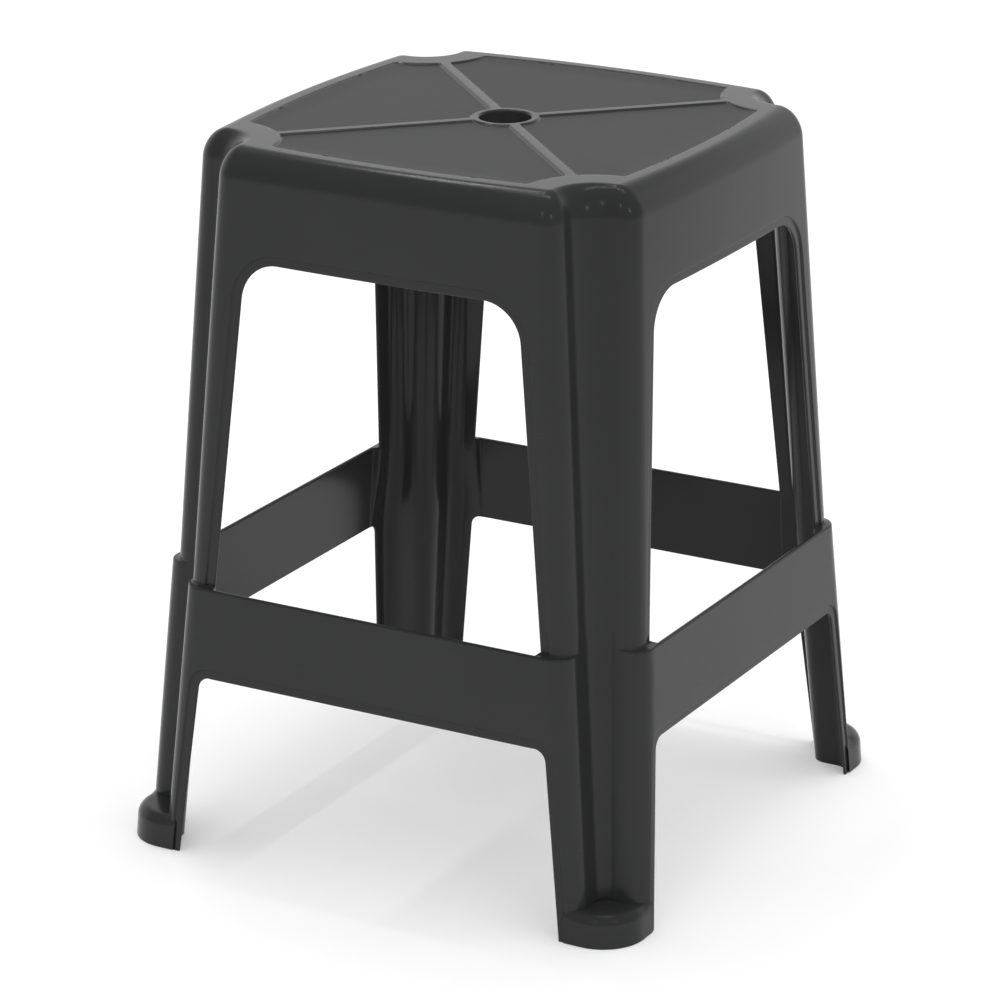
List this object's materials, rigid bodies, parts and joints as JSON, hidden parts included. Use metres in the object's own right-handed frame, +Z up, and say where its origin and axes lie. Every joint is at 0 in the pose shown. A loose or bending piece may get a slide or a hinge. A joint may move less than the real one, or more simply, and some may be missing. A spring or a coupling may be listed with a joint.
{
  "type": "stacking stool",
  "caption": "Square stacking stool moulded as one thin plastic shell, with channelled splayed corner legs, arched side openings, a stretcher band all round and a finger hole in the seat.",
  "frame": {"origin": "centre of the footprint on the floor", "axes": "+Z up, -Y the front side, +X to the right seen from the front"},
  "size_m": [0.358, 0.358, 0.45],
  "materials": {
    "charcoal_plastic": "satin gloss moulded polypropylene, charcoal grey",
    "seat_plastic": "charcoal polypropylene with four fine-textured panels between smooth borders"
  },
  "bodies": {
    "root": {"seat_deck": "seat_plastic", "hole_collar": "charcoal_plastic", "front_left_deck_rib": "charcoal_plastic", "front_right_deck_rib": "charcoal_plastic", "rear_right_deck_rib": "charcoal_plastic", "rear_left_deck_rib": "charcoal_plastic", "front_apron": "charcoal_plastic", "right_apron": "charcoal_plastic", "rear_apron": "charcoal_plastic", "left_apron": "charcoal_plastic", "front_stretcher": "charcoal_plastic", "right_stretcher": "charcoal_plastic", "rear_stretcher": "charcoal_plastic", "left_stretcher": "charcoal_plastic", "front_left_upper_leg": "charcoal_plastic", "front_left_lower_leg": "charcoal_plastic", "front_left_toe": "charcoal_plastic", "front_right_upper_leg": "charcoal_plastic", "front_right_lower_leg": "charcoal_plastic", "front_right_toe": "charcoal_plastic", "rear_right_upper_leg": "charcoal_plastic", "rear_right_lower_leg": "charcoal_plastic", "rear_right_toe": "charcoal_plastic", "rear_left_upper_leg": "charcoal_plastic", "rear_left_lower_leg": "charcoal_plastic", "rear_left_toe": "charcoal_plastic"}
  },
  "joints": []
}
